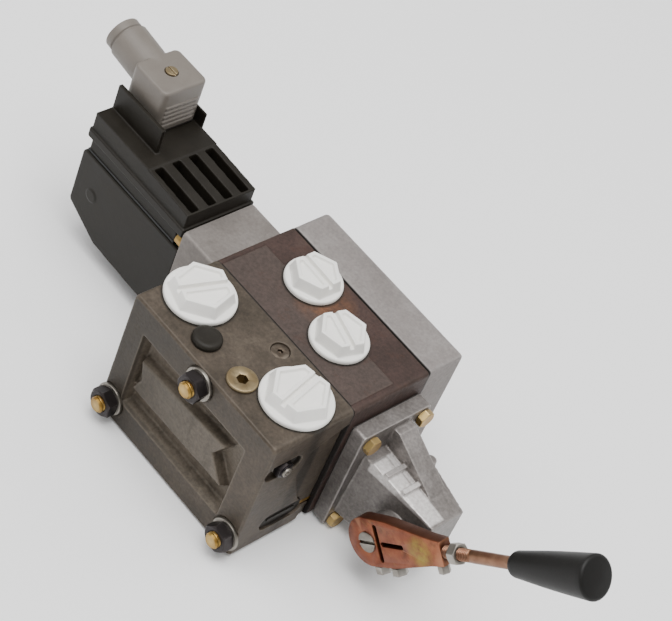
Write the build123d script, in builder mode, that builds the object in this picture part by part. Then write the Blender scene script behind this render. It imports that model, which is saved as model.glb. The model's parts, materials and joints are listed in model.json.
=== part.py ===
from build123d import *
import math
import os

os.makedirs("parts", exist_ok=True)

# A stackable hydraulic directional valve, in millimetres.
# +Z is up, the ports open upwards, and z = 0 is the mounting face.
# +X points to the hand lever, -X to the electrical actuator.
# Along Y the stack is: inlet section, work section, end plate.
# The origin is the centre of the four M8 mounting holes in the underside.

# ---- driving dimensions: the stack ----
body_half = 50.0
body_top = 79.0
inlet_front = -66.0
work_front = -18.0
work_back = 30.0
plate_back = 52.0
bore_y = 7.0
spool_z = 39.0
spool_r = 8.0
running_gap = 0.05
gallery_r = 5.0
pump_gallery = (-12.0, 17.0)
tank_gallery_x = 34.0
compensator_z = 22.0
compensator_r = 5.0
tie_rod_r = 4.0
tie_rod_hole_r = 4.4
tie_rod_places = [(0.0, 70.5), (-43.5, 11.0), (43.5, 11.0)]
tie_rod_start = -75.2
tie_rod_grip = 16.0
nut_height = 5.8
rod_washer_height = 1.6
mount_x = 32.0
mount_y = 41.0
mount_hole_r = 3.4
mount_depth = 14.0

# ---- ports and plugs on the top face ----
pump_port = (32.1, -38.8)
tank_port = (-34.8, -40.5)
work_port_a = (-17.8, 14.7)
work_port_b = (14.8, 2.3)
large_port_r = 12.06
small_port_r = 9.32
port_depth = 13.5
black_plug_at = (-13.6, -53.6)
brass_plug_at = (12.0, -54.0)
pilot_plug_at = (6.7, -26.3)

# ---- inlet section details ----
relief_axis = (-54.3, 60.0)
relief_r = 3.6
relief_recess = 3.0
bypass_axis = (-38.8, 30.0)
bypass_r = 7.0
drain_at = (-39.0, 15.0)

# ---- fasteners of the two end units, as (y, z) ----
lever_bolt_places = [(-9.0, 60.0), (25.0, 60.0), (-9.0, 4.4), (25.0, 4.4)]
pilot_screw_places = [(-11.6, 61.5), (25.6, 61.5), (-9.0, 20.0), (23.2, 20.0)]

# ---- lever end ----
flange_front = 58.5
nose_x = 103.5
pivot_x = 86.6
pivot_z = 27.6
shaft_r = 5.0
lever_angle = 44.5
lever_front = -22.0
lever_back = -15.4
lever_end = 48.0
rod_r = 3.0
knob_start = 89.0
knob_end = 136.0
knob_r = 9.9

# ---- actuator end ----
block_end = -75.0
housing_end = -149.0
side_front = -15.0
side_back = 29.0
housing_top = 57.0
rim_low = 66.0
rim_high = 70.5
platform_z = 81.0
connector_low = (-148.3, 0.4, 83.0)
connector_high = (-124.0, 27.4, 108.5)

X_AXIS = (1, 0, 0)
Y_AXIS = (0, 1, 0)
Z_AXIS = (0, 0, 1)
BACK = (-1, 0, 0)
DOWN = (0, 0, -1)
FROM_BASE = (Align.CENTER, Align.CENTER, Align.MIN)


def block(low, high, mode=Mode.ADD):
    """A box from its lowest corner to its highest."""
    size = Vector(*high) - Vector(*low)
    with Locations(Vector(*low) + size * 0.5):
        Box(size.X, size.Y, size.Z, mode=mode)


def bar(radius, start, direction, length, mode=Mode.ADD):
    """A round bar or hole that starts at a point."""
    with Locations(Plane(origin=start, z_dir=direction)):
        Cylinder(radius, length, align=FROM_BASE, mode=mode)


def taper(radius, end_radius, start, direction, length, mode=Mode.ADD):
    """A cone that starts at a point."""
    with Locations(Plane(origin=start, z_dir=direction)):
        Cone(radius, end_radius, length, align=FROM_BASE, mode=mode)


def hexagon(across, start, direction, length, mode=Mode.ADD):
    """A hexagonal bar or socket, by its width across flats."""
    with BuildSketch(Plane(origin=start, z_dir=direction)) as outline:
        RegularPolygon(across / 2, 6, major_radius=False)
    extrude(outline.sketch, amount=length, mode=mode)


def at_y(y):
    """A plane facing the front, at a place along Y."""
    return Plane.XZ.offset(-y)


def coil(radius, wire, start, direction, length, turns):
    """A compression spring: a wire swept on a helix inside its length."""
    height = length - 2 * wire
    seat = Vector(*start) + Vector(*direction) * wire
    with BuildLine() as path:
        Helix(height / turns, height, radius, center=seat, direction=direction)
    with BuildSketch(Plane(origin=path.line @ 0, z_dir=path.line % 0)) as section:
        Circle(wire)
    sweep(section.sketch, path=path.line, is_frenet=True)


def save(piece, name):
    """Label a finished piece and write its STEP file."""
    piece.part.label = name
    export_step(piece.part, "parts/" + name + ".step")


# ---------------------------------------------------------------- castings

# outlines seen from the front as (x, z), and from the +X end as (y, z)
recess_outline = [(-38, 15), (35, 15), (35, 63), (-38, 63)]
ribbon_outline = [(-34.6, 47.2), (24.6, 51.8), (19.3, 41.9), (29.6, 29.4), (-34.8, 28.1), (-31.5, 37.1)]
waist_outline = [(-17.9, -0.1), (-17.9, 70), (-38, 62), (-41, 46), (-33, 26), (-24, 10), (-25, -0.1)]
recess_depth = 6.5
with BuildPart() as inlet_section:
    block((-body_half, inlet_front, 0), (body_half, work_front, body_top))
    fillet(inlet_section.edges().filter_by(Axis.Y), radius=2.5)
    chamfer(inlet_section.faces().sort_by(Axis.Y)[0].edges(), length=1.0)
    # shallow recess in the front face, with sloping walls
    with BuildSketch(at_y(inlet_front)):
        with BuildLine():
            Polyline(*recess_outline, close=True)
        make_face()
    extrude(amount=-recess_depth, taper=14, mode=Mode.SUBTRACT)
    # raised ribbon in the recess, with notched ends
    with BuildSketch(at_y(inlet_front + 1.2)):
        with BuildLine():
            Polyline(*ribbon_outline, close=True)
        make_face()
    extrude(amount=-6.3, taper=-12)
    # spot faces and holes for the tie rods
    for x, z in tie_rod_places:
        bar(9.0, (x, inlet_front, z), Y_AXIS, 0.5, Mode.SUBTRACT)
        bar(tie_rod_hole_r, (x, inlet_front, z), Y_AXIS, 50, Mode.SUBTRACT)
    # pump and tank ports, with their drillings
    for x, y in (pump_port, tank_port):
        bar(large_port_r, (x, y, body_top), DOWN, port_depth, Mode.SUBTRACT)
        bar(8.0, (x, y, 24.0), Z_AXIS, 45.0, Mode.SUBTRACT)
    # plug holes on the top face
    bar(5.75, black_plug_at + (body_top,), DOWN, 12.0, Mode.SUBTRACT)
    bar(5.75, brass_plug_at + (body_top,), DOWN, 12.0, Mode.SUBTRACT)
    bar(4.6, pilot_plug_at + (body_top,), DOWN, 3.2, Mode.SUBTRACT)
    # bore of the bypass spool, open at the -X end
    bar(bypass_r + running_gap, (-body_half,) + bypass_axis, X_AXIS, 92.0, Mode.SUBTRACT)
    # long recess and bore of the relief valve, open at the +X end, and its feed
    with BuildSketch(Plane.YZ.offset(body_half)):
        with Locations(relief_axis):
            SlotOverall(21.0, 9.8)
    extrude(amount=-relief_recess, mode=Mode.SUBTRACT)
    bar(relief_r + 0.05, (body_half,) + relief_axis, BACK, 20.0, Mode.SUBTRACT)
    bar(2.2, (32.0, relief_axis[0], 60.0), Y_AXIS, 12.0, Mode.SUBTRACT)
    # galleries to the next section
    bar(gallery_r, (pump_gallery[0], -38.0, pump_gallery[1] + 7.0), DOWN, 7.0, Mode.SUBTRACT)
    bar(gallery_r, (pump_gallery[0], -38.0, pump_gallery[1]), Y_AXIS, 25.0, Mode.SUBTRACT)
    bar(gallery_r, (-tank_gallery_x, -38.0, spool_z), Y_AXIS, 25.0, Mode.SUBTRACT)
    bar(gallery_r, (tank_gallery_x, -26.0, spool_z), Y_AXIS, 9.0, Mode.SUBTRACT)
    bar(3.5, (-tank_gallery_x, -23.5, spool_z), X_AXIS, 2 * tank_gallery_x, Mode.SUBTRACT)
    # long drain opening low on the +X end
    with BuildSketch(Plane.YZ.offset(body_half)):
        with Locations(drain_at):
            SlotOverall(26.0, 11.0)
    extrude(amount=-2.0, mode=Mode.SUBTRACT)
    # cast waist behind the drain opening, which clears the lever housing
    with BuildSketch(Plane.YZ.offset(body_half)):
        with BuildLine():
            Polyline(*waist_outline, close=True)
        make_face()
    extrude(amount=-2.2, mode=Mode.SUBTRACT)
    # tapped holes in the underside
    with Locations((-mount_x, -mount_y, 0), (mount_x, -mount_y, 0)):
        Cylinder(mount_hole_r, mount_depth, align=FROM_BASE, mode=Mode.SUBTRACT)
save(inlet_section, "inlet_section")

with BuildPart() as work_section:
    block((-body_half, work_front, 0), (body_half, work_back, body_top - 0.6))
    fillet(work_section.edges().filter_by(Axis.Y), radius=2.0)
    # machined pad on the top face, and the rings around the work ports
    block((-46, work_front, body_top - 1.0), (46, 9.0, body_top))
    for x, y in (work_port_a, work_port_b):
        bar(15.2, (x, y, body_top - 1.0), Z_AXIS, 1.0)
    # main spool bore with its five chambers
    bar(spool_r + running_gap, (-body_half, bore_y, spool_z), X_AXIS, 100.0, Mode.SUBTRACT)
    for x, width in ((-34, 8), (work_port_a[0], 9), (0, 8), (work_port_b[0], 9), (34, 8)):
        bar(11.0, (x - width / 2, bore_y, spool_z), X_AXIS, width, Mode.SUBTRACT)
    # work ports and their drillings down to the chambers
    for x, y in (work_port_a, work_port_b):
        bar(small_port_r, (x, y, body_top), DOWN, port_depth, Mode.SUBTRACT)
        bar(4.2, (x, y, spool_z + 2.0), Z_AXIS, 26.0, Mode.SUBTRACT)
    # compensator bore, open at the +X end, and its feed to the spool
    bar(compensator_r + running_gap, (-30.0, bore_y, compensator_z), X_AXIS, 80.0, Mode.SUBTRACT)
    bar(3.0, (0.0, bore_y, compensator_z), Z_AXIS, 10.0, Mode.SUBTRACT)
    # galleries through the section, with a seal groove round each end
    for x, z in (pump_gallery, (-tank_gallery_x, spool_z), (tank_gallery_x, spool_z)):
        bar(gallery_r, (x, work_front, z), Y_AXIS, 48.0, Mode.SUBTRACT)
        bar(8.6, (x, work_front, z), Y_AXIS, 1.9, Mode.SUBTRACT)
        bar(8.6, (x, work_back - 1.9, z), Y_AXIS, 1.9, Mode.SUBTRACT)
        for y in (work_front, work_back - 1.9):
            bar(6.2, (x, y, z), Y_AXIS, 1.9)
            bar(gallery_r, (x, y, z), Y_AXIS, 1.9, Mode.SUBTRACT)
    # tie rod holes
    for x, z in tie_rod_places:
        bar(tie_rod_hole_r, (x, work_front, z), Y_AXIS, 48.0, Mode.SUBTRACT)
    # tapped holes for the lever housing and the pilot block
    for y, z in lever_bolt_places:
        bar(2.0, (body_half, y, z), BACK, 13.0, Mode.SUBTRACT)
    for y, z in pilot_screw_places:
        bar(2.5, (-body_half, y, z), X_AXIS, 12.0, Mode.SUBTRACT)
save(work_section, "work_section")

with BuildPart() as end_plate:
    block((-body_half, work_back, 0), (body_half, plate_back, body_top))
    fillet(end_plate.edges().filter_by(Axis.Y).group_by(Axis.X)[0].sort_by(Axis.Z)[-1], radius=3.5)
    fillet(end_plate.edges().filter_by(Axis.Y).group_by(Axis.X)[-1], radius=1.5)
    chamfer(end_plate.faces().sort_by(Axis.Y)[-1].edges(), length=0.8)
    for x, z in tie_rod_places:
        bar(tie_rod_r + 0.01, (x, work_back, z), Y_AXIS, tie_rod_grip + 1.0, Mode.SUBTRACT)
    for x, z in (pump_gallery, (-tank_gallery_x, spool_z), (tank_gallery_x, spool_z)):
        bar(gallery_r, (x, work_back, z), Y_AXIS, 6.0, Mode.SUBTRACT)
    with Locations((-mount_x, mount_y, 0), (mount_x, mount_y, 0)):
        Cylinder(mount_hole_r, mount_depth, align=FROM_BASE, mode=Mode.SUBTRACT)
save(end_plate, "end_plate")

with BuildPart() as section_seals:
    for x, z in (pump_gallery, (-tank_gallery_x, spool_z), (tank_gallery_x, spool_z)):
        for y in (work_front + 0.95, work_back - 0.95):
            with Locations(Plane(origin=(x, y, z), z_dir=Y_AXIS)):
                Torus(7.4, 0.9)
save(section_seals, "section_seals")

# ---------------------------------------------------------------- tie rods

# each rod is screwed into the end plate and clamped by a nut at the front
rod_washer_start = inlet_front - 1.1
with BuildPart() as tie_rods:
    for x, z in tie_rod_places:
        bar(tie_rod_r, (x, tie_rod_start, z), Y_AXIS, work_back + tie_rod_grip - tie_rod_start)
    chamfer(tie_rods.faces().filter_by(Axis.Y).edges(), length=0.7)
save(tie_rods, "tie_rods")

with BuildPart() as tie_rod_washers:
    for x, z in tie_rod_places:
        bar(8.2, (x, rod_washer_start, z), Y_AXIS, rod_washer_height)
        bar(4.2, (x, rod_washer_start, z), Y_AXIS, rod_washer_height, Mode.SUBTRACT)
save(tie_rod_washers, "tie_rod_washers")

with BuildPart() as tie_rod_nuts:
    for x, z in tie_rod_places:
        hexagon(13.0, (x, rod_washer_start - nut_height, z), Y_AXIS, nut_height)
        bar(tie_rod_r + 0.01, (x, rod_washer_start - nut_height, z), Y_AXIS, nut_height, Mode.SUBTRACT)
save(tie_rod_nuts, "tie_rod_nuts")

# ---------------------------------------------------------------- port plugs


crown_height = 8.8


def port_plug(name, place, flange_r, shank_r, face_z, turn):
    """A moulded plug: shank, round flange and a faceted crown with a slot."""
    x, y = place
    with BuildPart() as plug:
        bar(shank_r, (x, y, face_z - 10.0), Z_AXIS, 10.0)
        bar(shank_r - 1.6, (x, y, face_z - 10.0), Z_AXIS, 9.0, Mode.SUBTRACT)
        bar(flange_r, (x, y, face_z), Z_AXIS, 2.6)
        with BuildSketch(Plane.XY.offset(face_z + 2.6)):
            with Locations((x, y)):
                RegularPolygon(flange_r - 0.9, 6, rotation=turn + 30)
        with BuildSketch(Plane.XY.offset(face_z + crown_height)):
            with Locations((x, y)):
                RegularPolygon(flange_r * 0.8, 6, rotation=turn + 30)
        loft()
        with BuildSketch(Plane.XY.offset(face_z + crown_height)):
            with Locations((x, y)):
                Rectangle(flange_r * 1.5, 3.0, rotation=turn)
        extrude(amount=-3.0, mode=Mode.SUBTRACT)
    save(plug, name)


port_plug("pump_port_plug", pump_port, 17.5, 11.8, body_top, 102)
port_plug("tank_port_plug", tank_port, 17.3, 11.8, body_top, 73)
port_plug("work_port_plug_a", work_port_a, 14.4, 9.1, body_top, -2)
port_plug("work_port_plug_b", work_port_b, 14.5, 9.1, body_top, -16)

with BuildPart() as load_sense_plug:
    bar(7.2, black_plug_at + (body_top,), Z_AXIS, 3.2)
    fillet(load_sense_plug.faces().sort_by(Axis.Z)[-1].edges(), radius=1.6)
    bar(5.6, black_plug_at + (body_top - 9.0,), Z_AXIS, 9.0)
save(load_sense_plug, "load_sense_plug")

with BuildPart() as gauge_port_plug:
    bar(7.4, brass_plug_at + (body_top,), Z_AXIS, 1.6)
    chamfer(gauge_port_plug.faces().sort_by(Axis.Z)[-1].edges(), length=0.5)
    bar(5.6, brass_plug_at + (body_top - 9.0,), Z_AXIS, 9.0)
    hexagon(5.0, brass_plug_at + (body_top + 1.6,), DOWN, 6.0, Mode.SUBTRACT)
save(gauge_port_plug, "gauge_port_plug")

with BuildPart() as pilot_port_plug:
    bar(4.5, pilot_plug_at + (body_top - 3.1,), Z_AXIS, 2.3)
    hexagon(2.5, pilot_plug_at + (body_top - 0.8,), DOWN, 1.6, Mode.SUBTRACT)
save(pilot_port_plug, "pilot_port_plug")

with BuildPart() as drain_plug:
    with BuildSketch(Plane.YZ.offset(body_half - 2.0)):
        with Locations(drain_at):
            SlotOverall(25.6, 10.6)
    extrude(amount=0.8)
    with BuildSketch(Plane.YZ.offset(body_half - 1.2)):
        with Locations(drain_at):
            SlotOverall(17.0, 2.4)
    extrude(amount=0.6)
save(drain_plug, "drain_plug")

# ---------------------------------------------------------------- relief valve

relief_y, relief_z = relief_axis
relief_floor = body_half - relief_recess
relief_hex_start = relief_floor + 0.9
with BuildPart() as relief_valve_washer:
    bar(4.7, (relief_floor, relief_y, relief_z), X_AXIS, 0.9)
    bar(relief_r + 0.1, (relief_floor, relief_y, relief_z), X_AXIS, 0.9, Mode.SUBTRACT)
save(relief_valve_washer, "relief_valve_washer")

with BuildPart() as relief_valve_body:
    bar(relief_r, (body_half - 19.0, relief_y, relief_z), X_AXIS, relief_hex_start - body_half + 19.0)
    hexagon(8.0, (relief_hex_start, relief_y, relief_z), X_AXIS, 3.4)
    bar(3.3, (relief_hex_start + 3.4, relief_y, relief_z), X_AXIS, 0.7)
    # seat, poppet bore and the tapped hole for the adjusting screw
    bar(1.2, (body_half - 19.0, relief_y, relief_z), X_AXIS, 3.0, Mode.SUBTRACT)
    bar(2.5, (body_half - 16.0, relief_y, relief_z), X_AXIS, 23.5, Mode.SUBTRACT)
save(relief_valve_body, "relief_valve_body")

with BuildPart() as relief_poppet:
    taper(0.4, 2.0, (body_half - 15.4, relief_y, relief_z), X_AXIS, 3.0)
    bar(2.44, (body_half - 12.4, relief_y, relief_z), X_AXIS, 3.0)
save(relief_poppet, "relief_poppet")

with BuildPart() as relief_spring:
    coil(1.6, 0.35, (body_half - 9.3, relief_y, relief_z), X_AXIS, 8.6, 5)
save(relief_spring, "relief_spring")

with BuildPart() as relief_adjusting_screw:
    bar(2.45, (body_half - 0.6, relief_y, relief_z), X_AXIS, 3.4)
    hexagon(2.0, (body_half + 2.8, relief_y, relief_z), BACK, 1.8, Mode.SUBTRACT)
save(relief_adjusting_screw, "relief_adjusting_screw")

# ---------------------------------------------------------------- bypass spool

bypass_y, bypass_z = bypass_axis
with BuildPart() as bypass_spool:
    bar(bypass_r, (-28.0, bypass_y, bypass_z), X_AXIS, 68.0)
    for x in (-8.0, 12.0):
        bar(bypass_r + 1, (x, bypass_y, bypass_z), X_AXIS, 12.0, Mode.SUBTRACT)
        bar(4.0, (x, bypass_y, bypass_z), X_AXIS, 12.0)
    bar(4.2, (-28.0, bypass_y, bypass_z), X_AXIS, 12.0, Mode.SUBTRACT)
save(bypass_spool, "bypass_spool")

with BuildPart() as bypass_spring:
    coil(3.3, 0.6, (-39.9, bypass_y, bypass_z), X_AXIS, 23.8, 8)
save(bypass_spring, "bypass_spring")

with BuildPart() as bypass_end_plug:
    bar(bypass_r, (-body_half, bypass_y, bypass_z), X_AXIS, 10.0)
    bar(9.0, (-body_half - 1.5, bypass_y, bypass_z), X_AXIS, 1.5)
    hexagon(14.0, (-body_half - 6.0, bypass_y, bypass_z), X_AXIS, 4.5)
save(bypass_end_plug, "bypass_end_plug")

# ---------------------------------------------------------------- compensator

with BuildPart() as compensator_spool:
    bar(compensator_r, (-16.0, bore_y, compensator_z), X_AXIS, 46.0)
    bar(compensator_r + 1, (-4.0, bore_y, compensator_z), X_AXIS, 9.0, Mode.SUBTRACT)
    bar(3.0, (-4.0, bore_y, compensator_z), X_AXIS, 9.0)
    bar(3.4, (20.0, bore_y, compensator_z), X_AXIS, 10.0, Mode.SUBTRACT)
save(compensator_spool, "compensator_spool")

with BuildPart() as compensator_spring:
    coil(2.6, 0.45, (20.1, bore_y, compensator_z), X_AXIS, 19.8, 8)
save(compensator_spring, "compensator_spring")

with BuildPart() as compensator_plug:
    bar(compensator_r, (40.0, bore_y, compensator_z), X_AXIS, 9.6)
    hexagon(5.0, (49.6, bore_y, compensator_z), BACK, 5.0, Mode.SUBTRACT)
save(compensator_plug, "compensator_plug")

# ---------------------------------------------------------------- main spool

fork_half = 6.0
ball_r = 2.5
ball_gap = 0.2
slot_half = ball_r + ball_gap
fork_low = (pivot_x - fork_half, bore_y - 5, spool_z - 2.5)
fork_high = (pivot_x + fork_half, bore_y + 5, spool_z + 5.2)
fork_slot_low = (pivot_x - slot_half, bore_y - 6, spool_z - 3)
fork_slot_high = (pivot_x + slot_half, bore_y + 6, spool_z + 3.2)
with BuildPart() as main_spool:
    bar(spool_r, (-49.0, bore_y, spool_z), X_AXIS, 94.0)
    # reduced necks between the lands
    for x in (-31.0, -11.5, 4.0, 22.5):
        bar(spool_r + 1, (x, bore_y, spool_z), X_AXIS, 7.0, Mode.SUBTRACT)
        bar(5.0, (x, bore_y, spool_z), X_AXIS, 7.0)
    # stem through the centring spring, with the fork at its end
    bar(4.0, (45.0, bore_y, spool_z), X_AXIS, pivot_x - fork_half - 45.0)
    block(fork_low, fork_high)
    block(fork_slot_low, fork_slot_high, Mode.SUBTRACT)
    # tapped end for the sensor core
    bar(1.5, (-49.0, bore_y, spool_z), X_AXIS, 8.0, Mode.SUBTRACT)
save(main_spool, "main_spool")

with BuildPart() as sensor_core:
    bar(1.5, (-41.0, bore_y, spool_z), BACK, 70.0)
    bar(3.2, (-49.0, bore_y, spool_z), BACK, 2.0)
save(sensor_core, "sensor_core")

# ---------------------------------------------------------------- lever housing

with BuildPart() as lever_housing_gasket:
    block((body_half, side_front + 1, 2.5), (body_half + 0.8, side_back - 1, 65.0))
    bar(8.5, (body_half, bore_y, spool_z), X_AXIS, 1.0, Mode.SUBTRACT)
    for y, z in lever_bolt_places:
        bar(2.3, (body_half, y, z), X_AXIS, 1.0, Mode.SUBTRACT)
save(lever_housing_gasket, "lever_housing_gasket")

# the long rib seen from the front, as (x, z)
rib_outline = [(flange_front - 1, 40), (flange_front - 1, 61.7), (62.4, 61.7), (97.7, 43), (97.7, 40)]
# cross ribs: x, near side, top; smooth pads: x, end, near side, top
cross_ribs = [(70.8, -6.2, 50.4), (81.2, -4.6, 49.2)]
pads = [(63.6, 70.1, -6.9, 49.9), (74.1, 80.5, -5.7, 48.6), (84.5, 101.0, -3.6, 47.4)]
roof_fall = 0.12
with BuildPart() as lever_housing:
    # flange plate
    block((body_half + 0.8, side_front, 1.5), (flange_front, side_back, 66.0))
    fillet(lever_housing.edges().filter_by(Axis.X), radius=2.0)
    # tapered body from the flange to the nose
    with BuildSketch(Plane.YZ.offset(flange_front - 1)):
        with BuildLine():
            Polyline((-11, 6), (24, 6), (24, 50), (-8, 50), close=True)
        make_face()
    with BuildSketch(Plane.YZ.offset(nose_x)):
        with BuildLine():
            Polyline((-3.5, 23.5), (17, 23.5), (17, 45.2), (-3.5, 45.2), close=True)
        make_face()
    loft()
    # sloping back part with the long rib along its front edge
    with BuildSketch(Plane.XZ.offset(-6.0)):
        with BuildLine():
            Polyline(*rib_outline, close=True)
        make_face()
    extrude(amount=-11.0)
    # cross ribs on the near part of the roof
    for x, near, top in cross_ribs:
        block((x, near, 42.0), (x + 2.6, 7.0, top))
    # smooth pads between the cross ribs
    for x, end, near, top in pads:
        fall = (end - x) * roof_fall
        with BuildSketch(at_y(near)):
            with BuildLine():
                Polyline((x, 42), (x, top), (end, top - fall), (end, 42), close=True)
            make_face()
        extrude(amount=-8.5)
    # lug on the far side
    with BuildSketch(Plane.XY.offset(38)):
        with Locations((74.5, 19.0)):
            SlotOverall(9, 6, rotation=70)
    extrude(amount=11)
    # boss round the lever shaft
    bar(9.0, (pivot_x, -14.8, pivot_z), Y_AXIS, 12.0)
    # spring chamber, fork chamber and shaft chamber
    bar(7.2, (body_half + 0.8, bore_y, spool_z), X_AXIS, 26.0, Mode.SUBTRACT)
    block((76.2, 0.5, 28.0), (97.2, 13.5, 44.4), Mode.SUBTRACT)
    bar(7.4, (pivot_x, 0.5, pivot_z), Y_AXIS, 13.0, Mode.SUBTRACT)
    # bores for the two bushes
    bar(6.5, (pivot_x, -14.8, pivot_z), Y_AXIS, 15.4, Mode.SUBTRACT)
    bar(6.5, (pivot_x, 13.0, pivot_z), Y_AXIS, 4.5, Mode.SUBTRACT)
    # flange bolt holes with pockets for their heads
    for y, z in lever_bolt_places:
        bar(2.2, (body_half, y, z), X_AXIS, 20.0, Mode.SUBTRACT)
        bar(5.2, (flange_front, y, z), X_AXIS, 14.0, Mode.SUBTRACT)
save(lever_housing, "lever_housing")

with BuildPart() as lever_housing_bolts:
    for y, z in lever_bolt_places:
        bar(1.95, (body_half - 12.0, y, z), X_AXIS, flange_front - body_half + 12.0)
        hexagon(8.0, (flange_front, y, z), X_AXIS, 3.6)
save(lever_housing_bolts, "lever_housing_bolts")

with BuildPart() as lever_shaft_bushes:
    for y, length in ((-14.6, 15.0), (13.6, 3.8)):
        bar(6.5, (pivot_x, y, pivot_z), Y_AXIS, length)
        bar(shaft_r + running_gap, (pivot_x, y, pivot_z), Y_AXIS, length, Mode.SUBTRACT)
save(lever_shaft_bushes, "lever_shaft_bushes")

with BuildPart() as spring_cups:
    for x, lip in ((52.0, 53.6), (72.4, 70.8)):
        bar(6.9, (x, bore_y, spool_z), X_AXIS, 1.6)
        bar(4.9, (min(x, lip), bore_y, spool_z), X_AXIS, 3.2)
    for x in (51.9, 70.7):
        bar(4.3, (x, bore_y, spool_z), X_AXIS, 3.4, Mode.SUBTRACT)
save(spring_cups, "spring_cups")

with BuildPart() as centring_spring:
    coil(6.0, 0.75, (53.7, bore_y, spool_z), X_AXIS, 18.6, 6)
save(centring_spring, "centring_spring")

# ---------------------------------------------------------------- hand lever

lever_direction = Vector(math.cos(math.radians(lever_angle)), 0, math.sin(math.radians(lever_angle)))
across_lever = Vector(-lever_direction.Z, 0, lever_direction.X)
pivot = Vector(pivot_x, 0, pivot_z)
lever_mid_y = (lever_front + lever_back) / 2
# local x runs along the lever, local y across it, and the normal faces the front
lever_plane = Plane(origin=(pivot_x, lever_back, pivot_z), x_dir=lever_direction, z_dir=(0, -1, 0))


def on_lever(along, across=0.0, y=lever_mid_y):
    """A point given by its distance from the pivot along and across the lever."""
    return pivot + lever_direction * along + across_lever * across + Vector(0, y, 0)


# clamp screws in the lower edge: distance along, distance to the edge, width across flats
clamp_screws = [(3.0, 12.05, 6.5), (14.0, 11.55, 6.5), (44.0, 6.55, 5.0)]

with BuildPart() as lever_shaft:
    bar(shaft_r, (pivot_x, lever_front - 0.5, pivot_z), Y_AXIS, 39.5)
    # screwdriver slot in the front end, along the lever
    with BuildSketch(lever_plane.offset(lever_back - lever_front + 0.6)):
        Rectangle(12.0, 1.6)
    extrude(amount=-1.5, mode=Mode.SUBTRACT)
save(lever_shaft, "lever_shaft")

with BuildPart() as lever_cam_arm:
    bar(6.3, (pivot_x, bore_y - 3, pivot_z), Y_AXIS, 6.0)
    block((pivot_x - 1.3, bore_y - 2, pivot_z + 4), (pivot_x + 1.3, bore_y + 2, spool_z - 1))
    with Locations((pivot_x, bore_y, spool_z)):
        Sphere(ball_r)
    bar(shaft_r, (pivot_x, bore_y - 3, pivot_z), Y_AXIS, 6.0, Mode.SUBTRACT)
save(lever_cam_arm, "lever_cam_arm")

# half outline of the base, as (distance along the lever, distance across it)
base_side = [(0, 12), (15, 11.2), (lever_end - 8, 6.6), (lever_end, 5.8)]
base_outline = base_side + [(along, -across) for along, across in reversed(base_side)]
with BuildPart() as lever_base:
    with BuildSketch(lever_plane):
        with BuildLine():
            Polyline(*base_outline, close=True)
        make_face()
        Circle(12)
    extrude(amount=lever_back - lever_front)
    # slots that let the clamp flex: one across the lever and one along it
    with BuildSketch(lever_plane.offset(lever_back - lever_front)):
        with Locations((7.4, 0)):
            SlotOverall(18.5, 2.6, rotation=90)
        with Locations((16.4, 0)):
            SlotOverall(14.6, 2.4)
    extrude(amount=-4.0, mode=Mode.SUBTRACT)
    bar(shaft_r, (pivot_x, lever_front - 1, pivot_z), Y_AXIS, 9.0, Mode.SUBTRACT)
    bar(rod_r, on_lever(36.0), lever_direction, 16.0, Mode.SUBTRACT)
    for along, edge, across in clamp_screws:
        bar(1.6, on_lever(along, -edge - 1.0), across_lever, 4.5, Mode.SUBTRACT)
save(lever_base, "lever_base")

with BuildPart() as lever_base_screws:
    for along, edge, across in clamp_screws:
        bar(1.6, on_lever(along, -edge), across_lever, 3.0)
        hexagon(across, on_lever(along, -edge - 3.8), across_lever, 3.8)
save(lever_base_screws, "lever_base_screws")

with BuildPart() as lever_rod:
    bar(rod_r, on_lever(36.5), lever_direction, 68.0)
save(lever_rod, "lever_rod")

with BuildPart() as lever_lock_nut:
    hexagon(9.0, on_lever(52.5), lever_direction, 4.6)
    bar(rod_r, on_lever(52.5), lever_direction, 5.0, Mode.SUBTRACT)
save(lever_lock_nut, "lever_lock_nut")

rim_start = (knob_end - 2.4, knob_r)
rim_end = (knob_end, knob_r - 2.6)
with BuildPart() as lever_knob:
    knob_plane = Plane(origin=on_lever(0), x_dir=lever_direction, z_dir=(0, -1, 0))
    with BuildSketch(knob_plane):
        with BuildLine():
            Polyline((knob_start, 0), (knob_start, 4.2), (knob_start + 3.0, 6.0), rim_start)
            ThreePointArc(rim_start, (knob_end - 0.7, knob_r - 0.8), rim_end)
            Polyline(rim_end, (knob_end, 0), (knob_start, 0))
        make_face()
    revolve(axis=Axis(on_lever(0), lever_direction))
    bar(rod_r, on_lever(knob_start - 1), lever_direction, 17.0, Mode.SUBTRACT)
save(lever_knob, "lever_knob")

# ---------------------------------------------------------------- pilot block

coil_places = [(0.4, 24.0), (13.8, 24.0)]
with BuildPart() as pilot_block:
    block((block_end, side_front, 10.0), (-body_half, side_back, 70.0))
    fillet(pilot_block.edges().filter_by(Axis.X), radius=1.2)
    # chamber of the spool end and its way out to the sensor
    bar(9.0, (-body_half, bore_y, spool_z), BACK, 12.0, Mode.SUBTRACT)
    bar(2.2, (-body_half, bore_y, spool_z), BACK, 30.0, Mode.SUBTRACT)
    # pilot drillings in line with the solenoids
    for y, z in coil_places:
        bar(3.05, (block_end, y, z), X_AXIS, 9.0, Mode.SUBTRACT)
        bar(1.5, (block_end, y, z), X_AXIS, 20.0, Mode.SUBTRACT)
    for y, z in pilot_screw_places:
        bar(2.6, (block_end, y, z), X_AXIS, 26.0, Mode.SUBTRACT)
save(pilot_block, "pilot_block")

with BuildPart() as pilot_block_screws:
    for y, z in pilot_screw_places:
        bar(2.45, (block_end, y, z), X_AXIS, 36.0)
        bar(3.4, (block_end, y, z), BACK, 4.0)
        hexagon(4.0, (block_end - 4.0, y, z), X_AXIS, 2.0, Mode.SUBTRACT)
save(pilot_block_screws, "pilot_block_screws")

# ---------------------------------------------------------------- inside the actuator

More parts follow.
